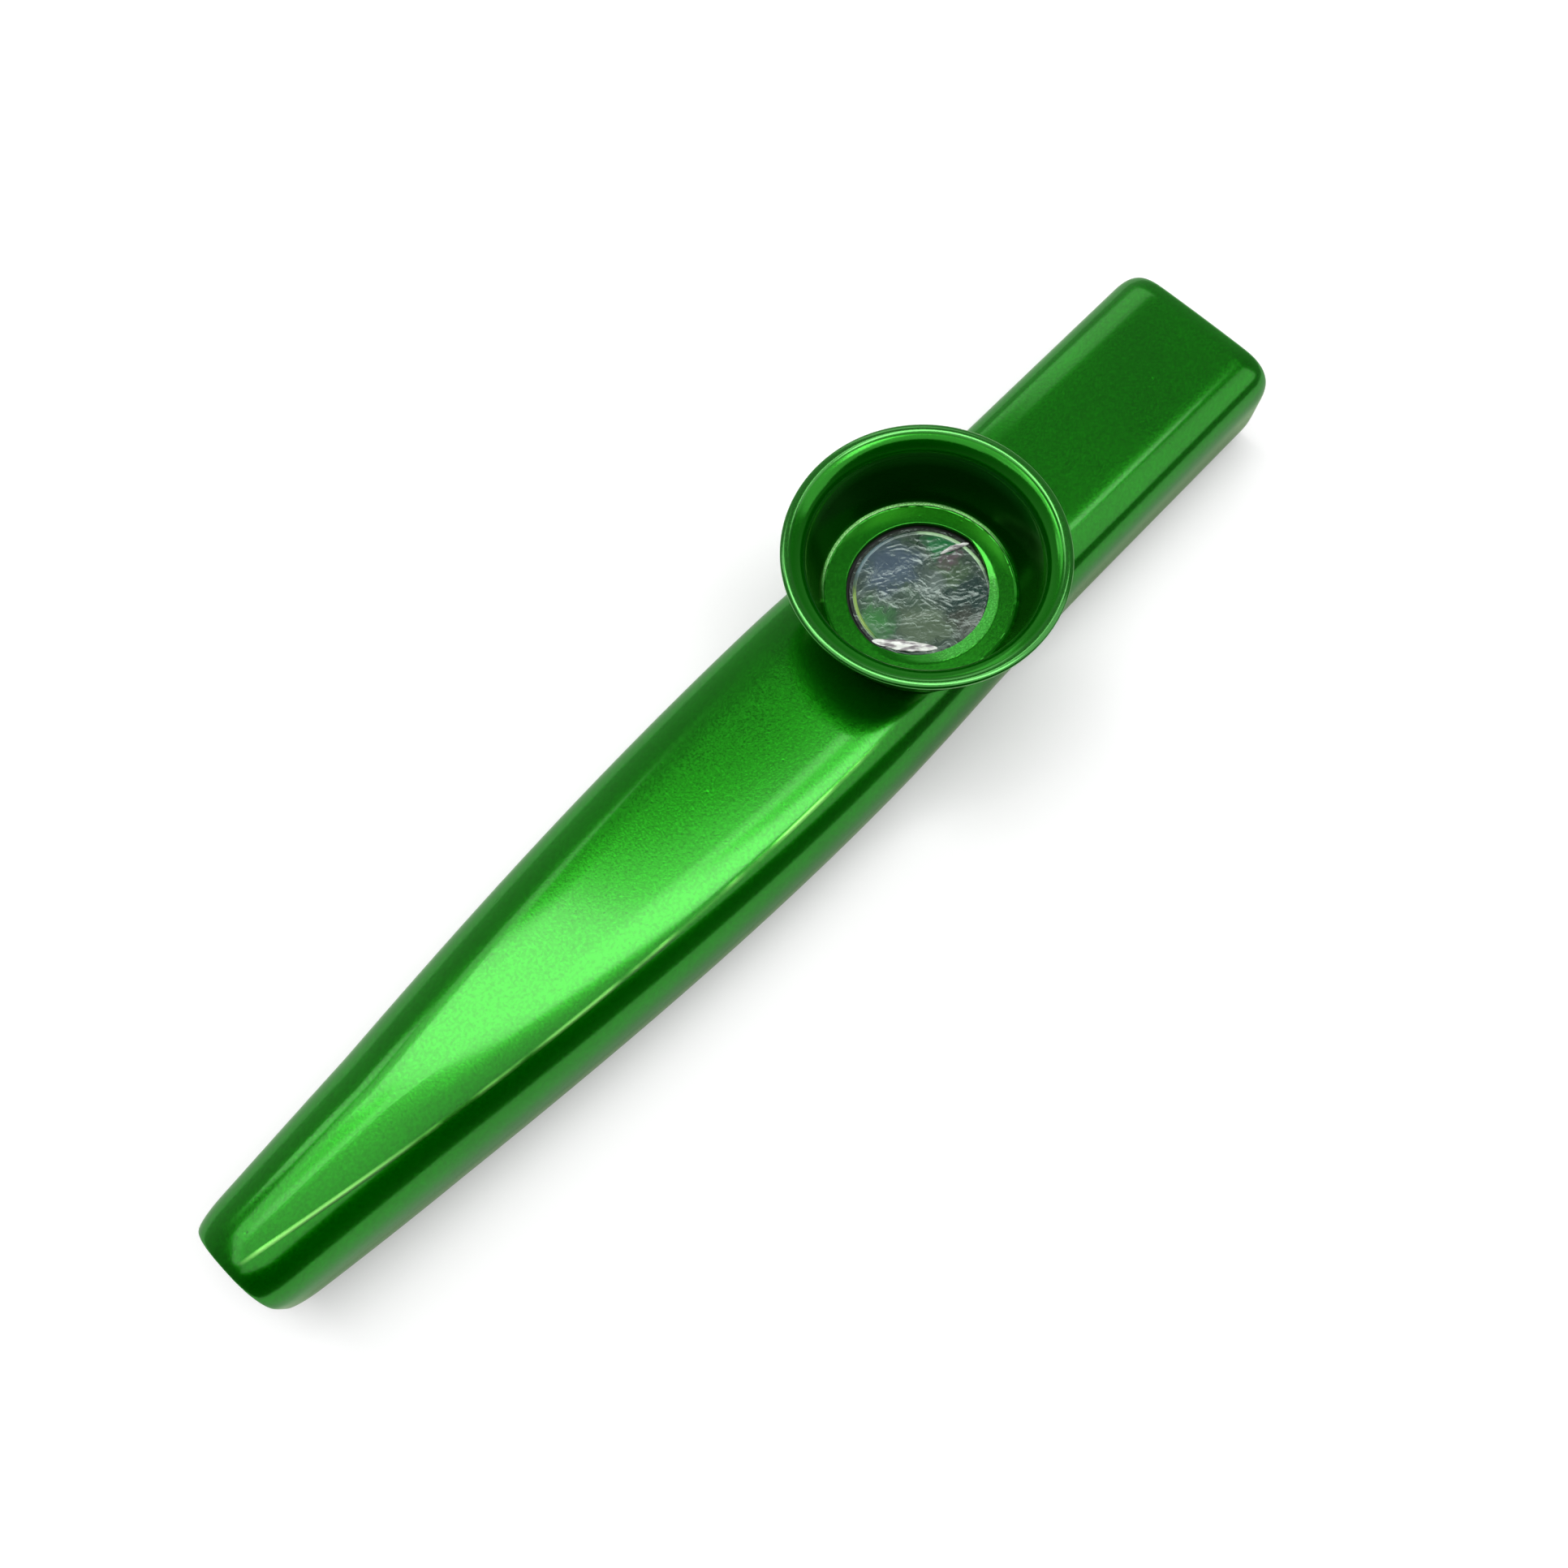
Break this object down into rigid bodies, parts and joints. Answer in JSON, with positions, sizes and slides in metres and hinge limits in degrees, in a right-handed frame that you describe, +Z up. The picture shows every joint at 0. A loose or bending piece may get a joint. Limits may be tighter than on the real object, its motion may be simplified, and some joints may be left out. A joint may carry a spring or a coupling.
{
  "type": "kazoo",
  "caption": "Metal kazoo: a swaged tube, wide at the mouthpiece and narrow at the tail, with a screw-on flared horn that holds a buzzing membrane.",
  "frame": {"origin": "under the middle of the tube, on the surface it rests on", "axes": "+X along the tube towards the mouthpiece, +Z up through the horn, +Y to the player's left with the mouthpiece held towards the player"},
  "size_m": [0.12, 0.0248, 0.0196],
  "materials": {
    "anodised_tube": "satin green anodised",
    "anodised_collar": "satin green anodised",
    "anodised_horn": "satin green anodised, turned",
    "hoop_plastic": "moulded, near black",
    "membrane_film": "crinkled clear film"
  },
  "bodies": {
    "tube": {"body_tube": "anodised_tube", "threaded_collar": "anodised_collar"},
    "membrane": {"membrane_hoop": "hoop_plastic", "membrane_film": "membrane_film"},
    "horn": {"horn": "anodised_horn"}
  },
  "joints": [
    {"name": "membrane_lift", "type": "slide", "parent": "tube", "child": "membrane", "axis": [0, 0, 1], "range_m": [0, 0.003]},
    {"name": "horn_turn", "type": "hinge", "parent": "membrane", "child": "horn", "pos_m": [0.0193, 0, 0.0118], "axis": [0, 0, 1], "range_deg": [0, 1080]}
  ],
  "couplings": [
    {"joint": "membrane_lift", "follows": "horn_turn", "m_per_rad": 0.00015915}
  ]
}
